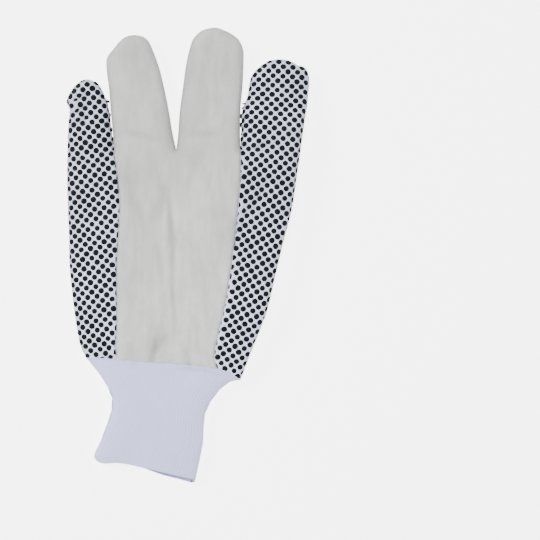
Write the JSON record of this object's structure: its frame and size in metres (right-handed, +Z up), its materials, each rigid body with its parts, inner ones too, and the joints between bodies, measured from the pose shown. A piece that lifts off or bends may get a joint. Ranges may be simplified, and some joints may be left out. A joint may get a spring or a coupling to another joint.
{
  "type": "dotted cotton work glove",
  "caption": "Left-hand knit-wrist cotton canvas work glove with raised dots on the palm side, lying palm down with the thumb folded under it.",
  "frame": {"origin": "under the middle of the glove's box, on the surface that it lies on", "axes": "+Y to the fingertips, +X to the thumb side, +Z up from the surface"},
  "size_m": [0.1384, 0.259, 0.0197],
  "materials": {
    "dotted_canvas": "matt cotton canvas with raised black dots",
    "plain_canvas": "matt napped cotton canvas",
    "knit": "soft matt fine rib knit"
  },
  "bodies": {
    "root": {"palm_panel": "dotted_canvas", "back_panel": "plain_canvas", "thumb": "dotted_canvas", "knit_cuff": "knit"}
  },
  "joints": []
}
